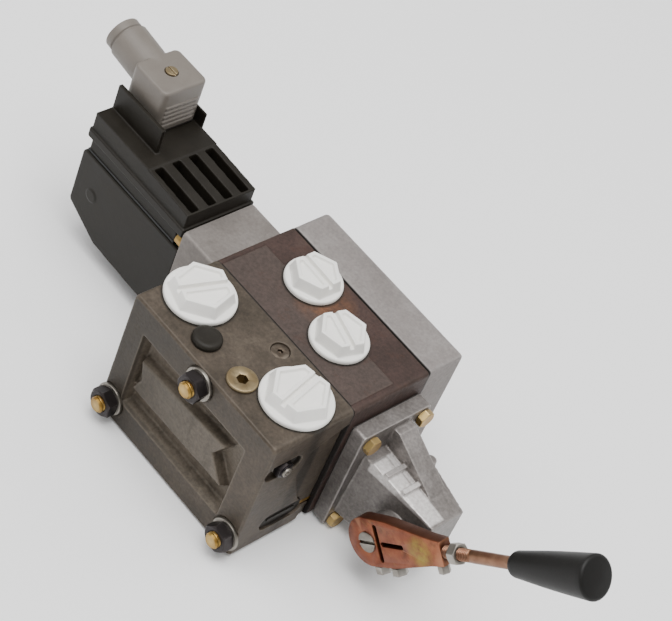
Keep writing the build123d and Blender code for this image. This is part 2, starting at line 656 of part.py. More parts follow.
coil_length = 30.0
with BuildPart() as solenoid_coils:
    for y, z in coil_places:
        bar(6.2, (block_end, y, z), BACK, coil_length)
        bar(3.05, (block_end, y, z), BACK, coil_length - 3, Mode.SUBTRACT)
save(solenoid_coils, "solenoid_coils")

for letter, (y, z) in zip("ab", coil_places):
    with BuildPart() as plunger:
        bar(3.0, (block_end - 22.0, y, z), X_AXIS, 21.0)
        bar(1.2, (block_end - 1.0, y, z), X_AXIS, 8.0)
    save(plunger, "solenoid_plunger_" + letter)
    with BuildPart() as plunger_spring:
        coil(2.0, 0.35, (block_end - 26.9, y, z), X_AXIS, 4.8, 3)
    save(plunger_spring, "solenoid_spring_" + letter)

with BuildPart() as sensor_tube:
    bar(4.0, (block_end, bore_y, spool_z), BACK, 46.0)
    bar(2.2, (block_end, bore_y, spool_z), BACK, 43.0, Mode.SUBTRACT)
save(sensor_tube, "sensor_tube")

with BuildPart() as sensor_winding:
    bar(6.8, (block_end - 6.0, bore_y, spool_z), BACK, 34.0)
    bar(4.0, (block_end - 6.0, bore_y, spool_z), BACK, 34.0, Mode.SUBTRACT)
save(sensor_winding, "sensor_winding")

board_low = 50.0
board_top = 51.6
# components on the board: x, y, width and height
components = [(-128, -2, 10, 2.2), (-104, 8, 14, 1.6), (-90, 18, 7, 3.0), (-120, 17, 8, 4.0)]
with BuildPart() as circuit_board:
    block((-143.0, -11.0, board_low), (-80.0, 25.0, board_top))
    for x, y, size, height in components:
        block((x - size / 2, y - size / 2, board_top), (x + size / 2, y + size / 2, board_top + height))
save(circuit_board, "circuit_board")

# ---------------------------------------------------------------- actuator housing

wall = 2.2
# outside and inside of the housing seen from the front, as (x, z)
housing_outline = [(block_end, 10), (block_end, housing_top)]
housing_outline += [(housing_end, housing_top), (housing_end, 22), (-126, 11.5)]
hollow_outline = [(block_end, 12.2), (block_end, 60)]
hollow_outline += [(housing_end + wall, 60), (housing_end + wall, 23.4), (-125.5, 13.7)]
with BuildPart() as actuator_housing:
    with BuildSketch(at_y(side_front)):
        with BuildLine():
            Polyline(*housing_outline, close=True)
        make_face()
    extrude(amount=-(side_back - side_front))
    fillet(actuator_housing.edges().filter_by(Axis.Y).group_by(Axis.X)[0], radius=2.0)
    with BuildSketch(at_y(side_front + wall)):
        with BuildLine():
            Polyline(*hollow_outline, close=True)
        make_face()
    extrude(amount=-(side_back - side_front - 2 * wall), mode=Mode.SUBTRACT)
    # round boss on the front wall
    bar(3.4, (-136.0, side_front + 0.4, 36.0), (0, -1, 0), 0.9)
save(actuator_housing, "actuator_housing")

with BuildPart() as cover_seal:
    block((-147.5, side_front + 1.0, housing_top), (-80.0, side_back - 1.0, housing_top + 1.2))
    opening_low = (-143.5, side_front + 5.0, housing_top)
    opening_high = (-84.0, side_back - 5.0, housing_top + 1.2)
    block(opening_low, opening_high, Mode.SUBTRACT)
save(cover_seal, "cover_seal")

slots_start = -106.5
roof_end = -76.5
# the roof seen from the front, as (x, z)
roof_outline = [(-148.6, rim_high), (-148.6, platform_z), (slots_start - 1, platform_z)]
roof_outline += [(slots_start - 1, 80.6), (roof_end, 79.2), (roof_end, rim_high)]
opening_low = (connector_low[0] + 3, connector_low[1] + 3, 70)
opening_high = (connector_high[0] - 3, connector_high[1] - 3, 90)
with BuildPart() as actuator_cover:
    # neck that sits on the seal
    block((-147.0, side_front + 1.4, housing_top + 1.2), (-80.0, side_back - 1.4, rim_low + 1))
    # rim stripe
    block((-150.0, side_front - 0.4, rim_low), (block_end - 0.5, side_back + 0.4, rim_high))
    fillet(actuator_cover.edges().filter_by(Axis.Z).group_by(Axis.X)[0], radius=2.0)
    # roof: flat platform for the connector, then the slotted part
    with BuildSketch(at_y(side_front + 0.8)):
        with BuildLine():
            Polyline(*roof_outline, close=True)
        make_face()
    extrude(amount=-(side_back - side_front - 1.6))
    # walls that guard the connector
    block((-148.6, -4.6, platform_z), (-114.5, -2.4, 95.5))
    block((-148.6, side_back - 1.4, platform_z), (-119.0, side_back - 0.2, 90.0))
    # cooling slots
    for y in (-11.4, -0.6, 9.6, 19.8):
        block((slots_start, y, 73.0), (roof_end - 1.2, y + 5.0, 82.0), Mode.SUBTRACT)
    # hollow inside the neck and the roof
    block((-144.0, side_front + 4.4, housing_top), (-83.0, side_back - 4.4, 66.0), Mode.SUBTRACT)
    block((-144.0, side_front + 4.4, 65.9), (-112.0, side_back - 4.4, 74.0), Mode.SUBTRACT)
    # opening for the connector base
    block(opening_low, opening_high, Mode.SUBTRACT)
save(actuator_cover, "actuator_cover")

# ---------------------------------------------------------------- connector

low_x, low_y, low_z = connector_low
high_x, high_y, high_z = connector_high
mid_x = (low_x + high_x) / 2
mid_y = (low_y + high_y) / 2
with BuildPart() as connector_base:
    block((low_x + 3.1, low_y + 3.1, 72.0), (high_x - 3.1, high_y - 3.1, platform_z + 1.0))
    # four blades: place, then half length along X and along Y
    blades = ((5, 0, 0.4, 3.4), (-5, 0, 0.4, 3.4), (0, 5, 3.4, 0.4), (0, -6, 3.4, 0.4))
    for dx, dy, half_x, half_y in blades:
        x = mid_x + dx
        y = mid_y + dy
        block((x - half_x, y - half_y, platform_z), (x + half_x, y + half_y, 91.0))
save(connector_base, "connector_base")

with BuildPart() as connector_gasket:
    block((low_x + 0.8, low_y + 0.8, platform_z), (high_x - 0.8, high_y - 0.8, low_z))
    block((low_x + 3.1, low_y + 3.1, platform_z), (high_x - 3.1, high_y - 3.1, low_z), Mode.SUBTRACT)
save(connector_gasket, "connector_gasket")

gland_tilt = math.radians(7)
gland_way = (-math.cos(gland_tilt), 0, math.sin(gland_tilt))
gland_start = Vector(low_x + 4.0, mid_y, 98.4)
neck_length = 23.3
gland_length = 29.2
grommet_start = gland_length - 5.0


def along_gland(distance):
    """A point on the cable gland's axis."""
    return gland_start + Vector(*gland_way) * distance


with BuildPart() as connector_body:
    block(connector_low, connector_high)
    fillet(connector_body.edges().filter_by(Axis.Z), radius=3.2)
    fillet(connector_body.faces().sort_by(Axis.Z)[-1].edges(), radius=1.6)
    bar(10.2, along_gland(0), gland_way, neck_length)
    # grip ridges low on the +X face
    for step in range(5):
        z = low_z + 2.4 + 3.0 * step
        block((high_x - 0.4, low_y + 3.6, z), (high_x + 0.5, high_y - 3.6, z + 1.5))
    # contact chamber, wire bore and screw hole
    block((low_x + 3.4, low_y + 3.4, low_z), (high_x - 3.4, high_y - 3.4, 93.0), Mode.SUBTRACT)
    bar(4.4, along_gland(-3.0), gland_way, neck_length + 4.0, Mode.SUBTRACT)
    bar(1.7, (mid_x, mid_y, 90.0), Z_AXIS, 20.0, Mode.SUBTRACT)
    bar(3.4, (mid_x, mid_y, high_z - 1.2), Z_AXIS, 2.0, Mode.SUBTRACT)
save(connector_body, "connector_body")

with BuildPart() as cable_gland_nut:
    bar(8.6, along_gland(neck_length), gland_way, 2.0)
    bar(9.3, along_gland(neck_length + 1.5), gland_way, gland_length - neck_length - 1.5)
    bar(4.4, along_gland(neck_length), gland_way, 2.0, Mode.SUBTRACT)
    bar(5.6, along_gland(grommet_start), gland_way, 8.0, Mode.SUBTRACT)
    fillet(cable_gland_nut.edges().filter_by(GeomType.CIRCLE).sort_by(SortBy.RADIUS)[-2:], radius=0.6)
save(cable_gland_nut, "cable_gland_nut")

with BuildPart() as cable_grommet:
    bar(5.5, along_gland(grommet_start), gland_way, 5.0)
    bar(3.2, along_gland(grommet_start), gland_way, 5.0, Mode.SUBTRACT)
save(cable_grommet, "cable_grommet")

with BuildPart() as connector_screw:
    bar(1.5, (mid_x, mid_y, 84.0), Z_AXIS, high_z - 84.0)
    bar(3.1, (mid_x, mid_y, high_z - 1.2), Z_AXIS, 1.8)
    block((mid_x - 4, mid_y - 0.4, high_z - 0.2), (mid_x + 4, mid_y + 0.4, high_z + 1), Mode.SUBTRACT)
save(connector_screw, "connector_screw")
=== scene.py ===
import json
import math

import bmesh
import bpy
from mathutils import Matrix, Quaternion, Vector, noise


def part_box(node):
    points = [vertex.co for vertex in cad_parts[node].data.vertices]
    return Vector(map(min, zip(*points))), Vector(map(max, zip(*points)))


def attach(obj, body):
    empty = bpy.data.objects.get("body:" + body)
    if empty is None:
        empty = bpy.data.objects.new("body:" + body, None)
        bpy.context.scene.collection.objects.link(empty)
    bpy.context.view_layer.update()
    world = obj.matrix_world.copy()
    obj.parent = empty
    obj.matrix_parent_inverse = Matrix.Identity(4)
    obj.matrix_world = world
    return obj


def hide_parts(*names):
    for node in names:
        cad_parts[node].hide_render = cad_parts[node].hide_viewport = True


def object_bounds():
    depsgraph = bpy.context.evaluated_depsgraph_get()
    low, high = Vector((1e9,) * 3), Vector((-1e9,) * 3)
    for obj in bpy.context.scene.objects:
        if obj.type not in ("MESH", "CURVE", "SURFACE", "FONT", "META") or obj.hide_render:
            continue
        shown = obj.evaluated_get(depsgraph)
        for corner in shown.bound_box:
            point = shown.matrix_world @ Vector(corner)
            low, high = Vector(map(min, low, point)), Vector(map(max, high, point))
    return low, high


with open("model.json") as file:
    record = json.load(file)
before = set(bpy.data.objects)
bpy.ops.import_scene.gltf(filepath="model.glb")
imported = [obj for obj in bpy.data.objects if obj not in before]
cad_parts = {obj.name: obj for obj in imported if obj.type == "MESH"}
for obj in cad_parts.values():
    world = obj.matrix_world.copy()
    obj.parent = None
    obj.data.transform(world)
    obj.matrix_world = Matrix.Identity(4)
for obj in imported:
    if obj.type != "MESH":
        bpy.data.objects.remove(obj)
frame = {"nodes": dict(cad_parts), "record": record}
cad_low, cad_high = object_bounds()
MM = 0.001

# ------------------------------------------------------------ camera and stage

AIM = Vector((-0.0197, 0.0471, 0.0400))
DISTANCE = 1.030
AZIMUTH = math.radians(-30.93)
ELEVATION = math.radians(44.77)
ROLL = math.radians(24.36)
LENS = 114.2


def place_camera():
    """The camera looks down on the front left corner and is rolled to one side."""
    flat = math.cos(ELEVATION)
    look = Vector((math.sin(AZIMUTH) * flat, math.cos(AZIMUTH) * flat, -math.sin(ELEVATION)))
    data = bpy.data.cameras.new("camera")
    data.lens = LENS
    data.sensor_width = 36.0
    camera = bpy.data.objects.new("camera", data)
    bpy.context.scene.collection.objects.link(camera)
    turn = look.to_track_quat("-Z", "Y") @ Quaternion((0, 0, 1), ROLL)
    camera.matrix_world = Matrix.Translation(AIM - look * DISTANCE) @ turn.to_matrix().to_4x4()
    bpy.context.scene.camera = camera


def area_light(name, place, target, size, power, colour=(1, 1, 1)):
    """A soft square light aimed at a point."""
    data = bpy.data.lights.new(name, "AREA")
    data.size = size
    data.energy = power
    data.color = colour
    lamp = bpy.data.objects.new(name, data)
    bpy.context.scene.collection.objects.link(lamp)
    way = (Vector(target) - Vector(place)).to_track_quat("-Z", "Y")
    lamp.matrix_world = Matrix.Translation(Vector(place)) @ way.to_matrix().to_4x4()


def set_stage():
    """A pale floor, a pale world and three soft lights."""
    mesh = bpy.data.meshes.new("floor")
    reach = 6.0
    low = cad_low.z - 0.0003
    corners = [(-reach, -reach, low), (reach, -reach, low), (reach, reach, low), (-reach, reach, low)]
    mesh.from_pydata(corners, [], [(0, 1, 2, 3)])
    floor = bpy.data.objects.new("floor", mesh)
    bpy.context.scene.collection.objects.link(floor)
    paint = bpy.data.materials.new("floor_paint")
    paint.use_nodes = True
    shader = paint.node_tree.nodes["Principled BSDF"]
    shader.inputs["Base Color"].default_value = (0.97, 0.97, 0.97, 1)
    shader.inputs["Roughness"].default_value = 0.9
    floor.data.materials.append(paint)
    world = bpy.data.worlds.new("studio")
    world.use_nodes = True
    world.node_tree.nodes["Background"].inputs["Color"].default_value = (1.0, 1.0, 1.0, 1)
    world.node_tree.nodes["Background"].inputs["Strength"].default_value = 0.72
    bpy.context.scene.world = world
    area_light("overhead", (0.1, -0.1, 1.6), (0, 0, 0.04), 1.1, 28)
    area_light("key", (-0.8, -0.5, 1.2), (0, 0, 0.04), 0.8, 6)
    area_light("back", (0.3, 1.0, 1.0), (0, 0, 0.04), 0.9, 3)


place_camera()
set_stage()

# ------------------------------------------------------------ materials


class Recipe:
    """Builds one procedural material, node by node."""

    def __init__(self, name, roughness, metallic=0.0, specular=0.5, coat=0.0):
        self.material = bpy.data.materials.new(name)
        self.material.use_nodes = True
        self.tree = self.material.node_tree
        self.shader = self.tree.nodes["Principled BSDF"]
        self.shader.inputs["Roughness"].default_value = roughness
        self.shader.inputs["Metallic"].default_value = metallic
        self.shader.inputs["Specular IOR Level"].default_value = specular
        self.shader.inputs["Coat Weight"].default_value = coat
        place = self.tree.nodes.new("ShaderNodeTexCoord")
        self.coords = place.outputs["Object"]

    def add(self, kind, **values):
        """A node with its settings."""
        node = self.tree.nodes.new(kind)
        for key, value in values.items():
            setattr(node, key, value)
        return node

    def link(self, source, target):
        self.tree.links.new(source, target)

    def noise(self, size, detail=4.0, rough=0.6, stretch=(1, 1, 1)):
        """Noise whose lumps are about size metres across."""
        node = self.add("ShaderNodeTexNoise")
        node.inputs["Scale"].default_value = 1.0 / size
        node.inputs["Detail"].default_value = detail
        node.inputs["Roughness"].default_value = rough
        if stretch != (1, 1, 1):
            mapping = self.add("ShaderNodeMapping")
            mapping.inputs["Scale"].default_value = stretch
            self.link(self.coords, mapping.inputs["Vector"])
            self.link(mapping.outputs["Vector"], node.inputs["Vector"])
        else:
            self.link(self.coords, node.inputs["Vector"])
        return node.outputs["Fac"]

    def ramp(self, source, *stops):
        """Maps a value to colours or greys at its stops."""
        node = self.add("ShaderNodeValToRGB")
        points = node.color_ramp.elements
        while len(points) < len(stops):
            points.new(0.5)
        for point, (at, value) in zip(points, stops):
            point.position = at
            point.color = (value, value, value, 1) if isinstance(value, (int, float)) else (*value, 1)
        self.link(source, node.inputs["Fac"])
        return node.outputs["Color"]

    def mix(self, amount, first, second, blend="MIX"):
        """Blends two colours by an amount, each a socket or a value."""
        node = self.add("ShaderNodeMix", data_type="RGBA", blend_type=blend)
        if hasattr(amount, "links"):
            self.link(amount, node.inputs["Factor"])
        else:
            node.inputs["Factor"].default_value = amount
        for index, value in ((6, first), (7, second)):
            if hasattr(value, "links"):
                self.link(value, node.inputs[index])
            else:
                node.inputs[index].default_value = (*value, 1)
        return node.outputs[2]

    def edges(self, low=0.5, high=0.56):
        """A mask along raised edges, used to paint them paler as painted highlight and wear."""
        node = self.add("ShaderNodeNewGeometry")
        return self.ramp(node.outputs["Pointiness"], (low, 0.0), (high, 1.0))

    def along(self, axis, low, high):
        """A mask that rises from 0 to 1 between two places along an axis."""
        split = self.add("ShaderNodeSeparateXYZ")
        self.link(self.coords, split.inputs["Vector"])
        node = self.add("ShaderNodeMapRange")
        node.inputs["From Min"].default_value = low
        node.inputs["From Max"].default_value = high
        self.link(split.outputs[axis], node.inputs["Value"])
        return node.outputs["Result"]

    def maths(self, kind, first, second):
        """A maths node on two sockets or values."""
        node = self.add("ShaderNodeMath", operation=kind, use_clamp=True)
        for socket, value in zip(node.inputs, (first, second)):
            if hasattr(value, "links"):
                self.link(value, socket)
            else:
                socket.default_value = value
        return node.outputs[0]

    def scaled(self, source, amount):
        """A mask made weaker."""
        return self.maths("MULTIPLY", source, amount)

    def within(self, low, high, soft):
        """A mask of the inside of a box, with soft borders."""
        mask = 1.0
        for axis, first, last in zip("XYZ", low, high):
            mask = self.maths("MULTIPLY", mask, self.along(axis, first - soft, first + soft))
            mask = self.maths("MULTIPLY", mask, self.along(axis, last + soft, last - soft))
        return mask

    def near(self, point, radius):
        """A ragged mask round a point."""
        node = self.add("ShaderNodeVectorMath", operation="DISTANCE")
        self.link(self.coords, node.inputs[0])
        node.inputs[1].default_value = point
        reach = self.add("ShaderNodeMapRange")
        reach.inputs["From Min"].default_value = radius
        reach.inputs["From Max"].default_value = radius * 0.35
        self.link(node.outputs["Value"], reach.inputs["Value"])
        ragged = self.ramp(self.noise(radius * 0.5, 4, 0.7), (0.35, 0.15), (0.6, 1.0))
        return self.maths("MULTIPLY", reach.outputs["Result"], ragged)

    def ring(self, x, y, radius, width):
        """A mask of a ring about an upright axis, fading outwards."""
        flat = self.add("ShaderNodeVectorMath", operation="MULTIPLY")
        self.link(self.coords, flat.inputs[0])
        flat.inputs[1].default_value = (1, 1, 0)
        node = self.add("ShaderNodeVectorMath", operation="DISTANCE")
        self.link(flat.outputs["Vector"], node.inputs[0])
        node.inputs[1].default_value = (x, y, 0)
        reach = self.add("ShaderNodeMapRange")
        reach.inputs["From Min"].default_value = radius + width
        reach.inputs["From Max"].default_value = radius + 0.3 * width
        self.link(node.outputs["Value"], reach.inputs["Value"])
        return reach.outputs["Result"]

    def colour(self, source):
        if hasattr(source, "links"):
            self.link(source, self.shader.inputs["Base Color"])
        else:
            self.shader.inputs["Base Color"].default_value = (*source, 1)

    def roughen(self, source, low, high):
        """Roughness that follows a pattern between two values."""
        node = self.add("ShaderNodeMapRange")
        node.inputs["To Min"].default_value = low
        node.inputs["To Max"].default_value = high
        self.link(source, node.inputs["Value"])
        self.link(node.outputs["Result"], self.shader.inputs["Roughness"])

    def bump(self, *layers):
        """Stacked bumps, each a pattern and its depth in metres."""
        before = None
        for source, depth in layers:
            node = self.add("ShaderNodeBump")
            node.inputs["Strength"].default_value = 1.0
            node.inputs["Distance"].default_value = depth
            self.link(source, node.inputs["Height"])
            if before is not None:
                self.link(before, node.inputs["Normal"])
            before = node.outputs["Normal"]
        self.link(before, self.shader.inputs["Normal"])


JOINTS = (-18.0 * MM, 30.0 * MM)
# place and flange radius of each white plug, in millimetres
PLUG_RIMS = ((-34.8, -40.5, 17.3), (32.1, -38.8, 17.3), (14.8, 2.3, 14.4), (-17.8, 14.7, 14.4))


def paint_joints_and_plug_shade(r, tone):
    """Dark dirt along the joints between the sections, and painted shade in a dark ring round each plug's
    flange.
    """
    for y in JOINTS:
        before = r.along("Y", y - 0.7 * MM, y - 0.2 * MM)
        after = r.along("Y", y + 0.7 * MM, y + 0.2 * MM)
        line = r.maths("MULTIPLY", before, after)
        tone = r.mix(r.scaled(line, 0.9), tone, (0.006, 0.005, 0.004))
    # painted shade: a dark ring round each plug's flange, as a contact shadow
    for x, y, radius in PLUG_RIMS:
        rim = r.ring(x * MM, y * MM, radius * MM, 1.2 * MM)
        tone = r.mix(r.scaled(rim, 0.75), tone, (0.010, 0.008, 0.006))
    return tone


def cast_metal(name, dark, base, light, edge, grain=0.00010, metallic=0.35, rough=(0.5, 0.75), tint=None,
               speckle=0.28, joint_dirt_and_plug_shade=False):
    """Cast or die-cast metal: mottled colour, sandy grain, and raised edges painted paler as painted
    highlight and wear.
    """
    r = Recipe(name, 0.6, metallic=metallic, specular=0.4)
    mottle = r.noise(0.018, 6, 0.65)
    fine = r.noise(0.0016, 3, 0.6)
    tone = r.ramp(mottle, (0.30, dark), (0.52, base), (0.72, light))
    if tint:
        tone = tint(r, tone)
    tone = r.mix(speckle, tone, r.ramp(fine, (0.3, 0.12), (0.7, 0.95)), "OVERLAY")
    specks = r.ramp(r.noise(0.0008, 2, 0.5), (0.66, 0.0), (0.74, 0.5))
    tone = r.mix(r.scaled(specks, 0.6), tone, light)
    # painted highlight and wear: raised edges painted towards the edge colour
    tone = r.mix(r.scaled(r.edges(), 0.55), tone, edge)
    if joint_dirt_and_plug_shade:
        tone = paint_joints_and_plug_shade(r, tone)
    r.colour(tone)
    r.roughen(mottle, *rough)
    r.bump((r.noise(0.0040, 4, 0.6), grain * 2.5), (fine, grain))
    return r


def inlet_stains_and_painted_light(r, tone):
    """The recess in the front and its ribbon are painted paler, painted light that lifts their shade; oil
    has dripped down the faces; the front face has painted shade deepening towards its left end.
    """
    # painted light: the recess is painted paler than the iron to lift its shade
    inside = r.within((-0.0385, -0.0658, 0.0145), (0.0355, -0.055, 0.0635), 0.0006)
    tone = r.mix(inside, tone, (0.108, 0.088, 0.066))
    # painted light: the raised ribbon is painted paler, as if lit
    ribbon = r.within((-0.0385, -0.0664, 0.0145), (0.0355, -0.0640, 0.0635), 0.0004)
    tone = r.mix(r.scaled(ribbon, 0.85), tone, (0.112, 0.092, 0.070))
    stains = r.ramp(r.noise(0.011, 5, 0.7, (1, 1, 0.35)), (0.52, 0.0), (0.68, 0.45))
    tone = r.mix(stains, tone, (0.026, 0.0195, 0.0125))
    # painted shade: the front face darkens towards its left end
    front = r.within((-0.0515, -0.0670, -0.001), (0.0515, -0.0640, 0.0775), 0.0006)
    painted_shade_leftwards = r.maths("MULTIPLY", front, r.along("X", 0.030, -0.050))
    return r.mix(r.scaled(painted_shade_leftwards, 0.75), tone, (0.016, 0.0125, 0.0080))


def work_tint(r, tone):
    """Machined faces are greyer than the raw skin, with a rusty patch between the two ports."""
    machined = r.along("Z", 0.0786, 0.0789)
    tone = r.mix(r.scaled(machined, 0.7), tone, (0.062, 0.0465, 0.0395))
    patch = r.near((-0.0057, 0.0120, 0.0784), 0.017)
    tone = r.mix(patch, tone, (0.135, 0.060, 0.030))
    rust = r.ramp(r.noise(0.008, 5, 0.7), (0.56, 0.0), (0.70, 0.5))
    return r.mix(rust, tone, (0.050, 0.022, 0.014))


def housing_pads_and_painted_light(r, tone):
    """The smooth roof pads are painted far paler, partly their finish and partly painted highlight; painted
    shade darkens the housing towards the bottom.
    """
    # painted highlight, with some real finish: the roof pads are painted pale
    pads = r.within((0.0630, -0.0085, 0.0446), (0.1018, 0.0052, 0.0503), 0.0005)
    tone = r.mix(r.scaled(pads, 0.85), tone, (0.62, 0.59, 0.57))
    # painted shade: darker towards the bottom
    low = r.along("Z", 0.050, 0.022)
    return r.mix(r.scaled(low, 0.35), tone, (0.075, 0.068, 0.062))


def moulded(name, base, light, grain=0.00003, rough=(0.42, 0.6), specular=0.5, rubbed_and_highlit_edges=0.6):
    """Moulded plastic: fine grain, slight cloudiness, and edges painted paler as painted highlight and
    rubbing.
    """
    r = Recipe(name, 0.5, specular=specular)
    cloud = r.noise(0.012, 4, 0.6)
    tone = r.mix(r.ramp(cloud, (0.35, 0.0), (0.7, 0.5)), base, light)
    # painted highlight and rubbing: raised edges painted towards the light colour
    tone = r.mix(r.scaled(r.edges(0.51, 0.60), rubbed_and_highlit_edges), tone, light)
    dust = r.ramp(r.noise(0.0011, 3, 0.6), (0.58, 0.0), (0.70, 0.30))
    tone = r.mix(dust, tone, light)
    r.colour(tone)
    r.roughen(cloud, *rough)
    r.bump((r.noise(0.0007, 2, 0.5), grain), (r.noise(0.006, 3, 0.5), grain * 2))
    return r


def plated(name, base, tint, light, metallic=0.9, rough=(0.28, 0.5), patch=0.006):
    """Plated steel: two drifting tints, fine scratches, and edges painted bright as painted highlight and
    wear.
    """
    r = Recipe(name, 0.4, metallic=metallic)
    drift = r.noise(patch, 3, 0.5)
    tone = r.mix(r.ramp(drift, (0.4, 0.0), (0.62, 1.0)), base, tint)
    grime = r.ramp(r.noise(patch * 0.4, 4, 0.7), (0.55, 0.0), (0.72, 0.6))
    tone = r.mix(grime, tone, tuple(value * 0.35 for value in base))
    # painted highlight and wear: raised edges painted towards the light colour
    tone = r.mix(r.scaled(r.edges(0.52, 0.6), 0.7), tone, light)
    r.colour(tone)
    r.roughen(r.noise(0.0009, 2, 0.5, (1, 6, 1)), *rough)
    r.bump((r.noise(0.0006, 2, 0.5), 0.00002))
    return r


def chromated(name):
    """Orange chromated sheet with a yellow green sheen where the film is thicker, and painted shade on its
    side faces.
    """
    r = Recipe(name, 0.4, metallic=0.75)
    drift = r.noise(0.007, 4, 0.6)
    deep = (0.130, 0.032, 0.014)
    middle = (0.200, 0.056, 0.025)
    pale = (0.260, 0.090, 0.040)
    tone = r.ramp(drift, (0.32, deep), (0.52, middle), (0.70, pale))
    film = r.near((0.1117, -0.022, 0.0510), 0.0090)
    tone = r.mix(r.scaled(film, 0.85), tone, (0.27, 0.21, 0.025))
    streaks = r.ramp(r.noise(0.005, 4, 0.6, (1, 1, 3)), (0.56, 0.0), (0.68, 0.5))
    tone = r.mix(streaks, tone, (0.24, 0.115, 0.035))
    # painted shade: the faces behind the front face are painted dark, as if shadowed by the housing
    shaded_side_faces = r.maths("MULTIPLY", r.along("Y", -21.7 * MM, -20.9 * MM), 0.75)
    tone = r.mix(shaded_side_faces, tone, (0.050, 0.018, 0.010))
    oil = r.ramp(r.noise(0.006, 4, 0.65), (0.54, 0.0), (0.70, 0.6))
    tone = r.mix(oil, tone, (0.060, 0.022, 0.012))
    # painted highlight and wear: raised edges painted pale orange
    tone = r.mix(r.scaled(r.edges(0.53, 0.62), 0.5), tone, (0.42, 0.20, 0.11))
    r.colour(tone)
    r.roughen(r.noise(0.0012, 3, 0.6, (4, 1, 4)), 0.26, 0.46)
    r.bump((r.noise(0.0008, 3, 0.6), 0.000025))
    return r


# In the castings the fourth colour paints raised edges paler, as painted highlight and wear; in the plated
# finishes the third colour does the same.
paints = {
    "inlet_casting": cast_metal("inlet_iron", (0.036, 0.0270, 0.0180), (0.058, 0.0440, 0.0310),
                                (0.084, 0.0655, 0.0480), (0.130, 0.105, 0.080), 0.00007, 0.3, (0.42, 0.62),
                                inlet_stains_and_painted_light, joint_dirt_and_plug_shade=True),
    "work_casting": cast_metal("work_iron", (0.030, 0.0170, 0.0135), (0.046, 0.0265, 0.0215),
                               (0.064, 0.0385, 0.0310), (0.085, 0.060, 0.045), tint=work_tint, joint_dirt_and_plug_shade=True),
    "plate_aluminium": cast_metal("plate_alloy", (0.180, 0.160, 0.150), (0.212, 0.192, 0.182),
                                  (0.245, 0.225, 0.213), (0.36, 0.34, 0.33), 0.00008, speckle=0.16,
                                  joint_dirt_and_plug_shade=True),
    "housing_aluminium": cast_metal("housing_alloy", (0.120, 0.107, 0.098), (0.172, 0.156, 0.146),
                                    (0.240, 0.220, 0.208), (0.42, 0.39, 0.37), 0.00005, 0.5, (0.32, 0.5),
                                    housing_pads_and_painted_light),
    "block_aluminium": cast_metal("block_alloy", (0.150, 0.133, 0.120), (0.182, 0.163, 0.149),
                                  (0.212, 0.192, 0.177), (0.30, 0.27, 0.25), 0.00005, speckle=0.16),
    "white_plastic": moulded("white_moulding", (0.83, 0.815, 0.770),
                             (0.90, 0.885, 0.845), rough=(0.3, 0.45)),
    "black_plastic": moulded("black_moulding", (0.0098, 0.0078, 0.0052), (0.0200, 0.0172, 0.0128),
                             rough=(0.42, 0.58), specular=0.20),
    "knob_plastic": moulded("knob_moulding", (0.0040, 0.0036, 0.0030), (0.0080, 0.0074, 0.0064),
                            rough=(0.40, 0.52), specular=0.25),
    "grey_plastic": moulded("grey_moulding", (0.130, 0.113, 0.096),
                            (0.168, 0.149, 0.129), rough=(0.4, 0.55)),
    "black_steel": plated("black_oxide", (0.010, 0.0085, 0.0090),
                          (0.019, 0.0155, 0.0180), (0.07, 0.06, 0.058)),
    "bright_steel": plated("ground_steel", (0.50, 0.50, 0.51), (0.60, 0.60, 0.60), (0.8, 0.8, 0.8)),
    "zinc_steel": plated("zinc", (0.115, 0.102, 0.082), (0.205, 0.188, 0.160), (0.46, 0.43, 0.39)),
    "yellow_zinc": plated("yellow_chromate", (0.235, 0.122, 0.022),
                          (0.350, 0.220, 0.055), (0.62, 0.47, 0.22)),
    "orange_zinc": chromated("orange_chromate"),
    "copper_zinc": plated("copper_chromate", (0.135, 0.052, 0.028),
                          (0.200, 0.100, 0.056), (0.50, 0.34, 0.24)),
    "brass": plated("brass", (0.185, 0.130, 0.062), (0.260, 0.200, 0.110), (0.46, 0.38, 0.25)),
    "stained_steel": plated("stained_steel", (0.075, 0.055, 0.040),
                            (0.130, 0.105, 0.080), (0.30, 0.26, 0.22)),
    "spring_steel": plated("spring_wire", (0.35, 0.35, 0.36), (0.45, 0.45, 0.46), (0.6, 0.6, 0.6)),
    "bronze": plated("bronze", (0.42, 0.28, 0.14), (0.5, 0.36, 0.2), (0.7, 0.55, 0.35)),
    "copper": plated("winding", (0.45, 0.18, 0.08), (0.55, 0.26, 0.12), (0.7, 0.4, 0.25)),
    "circuit_green": moulded("solder_mask", (0.01, 0.10, 0.04), (0.02, 0.16, 0.07)),
    "seal_rubber": moulded("seal_rubber", (0.012, 0.012, 0.012), (0.022, 0.022, 0.022)),
    "gasket": moulded("gasket_sheet", (0.03, 0.026, 0.022), (0.05, 0.045, 0.04)),
}


def finish_of(node):
    """The material slot that the record gives a CAD node."""
    for part in frame["record"]["subparts"]:
        if part["node"] == node:
            return part["material_slot"]


def body_of(node):
    """The body that a CAD node belongs to."""
    for body, nodes in frame["record"]["behaviour"]["bodies"].items():
        if node in nodes:
            return body



# ------------------------------------------------------------ building pieces


def link(name, mesh, node, *also):
    """Puts a finished mesh in the scene in place of its CAD nodes."""
    piece = bpy.data.objects.new(name, mesh)
    bpy.context.scene.collection.objects.link(piece)
    slot = finish_of(node)
    mesh.materials.clear()
    mesh.materials.append(paints[slot].material)
    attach(piece, body_of(node))
    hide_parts(node, *also)
    return piece


def bake_modifiers(piece):
    """Turns the modifiers of a loose object into plain mesh."""
    graph = bpy.context.evaluated_depsgraph_get()
    mesh = bpy.data.meshes.new_from_object(piece.evaluated_get(graph))
    bpy.data.objects.remove(piece)
    return mesh


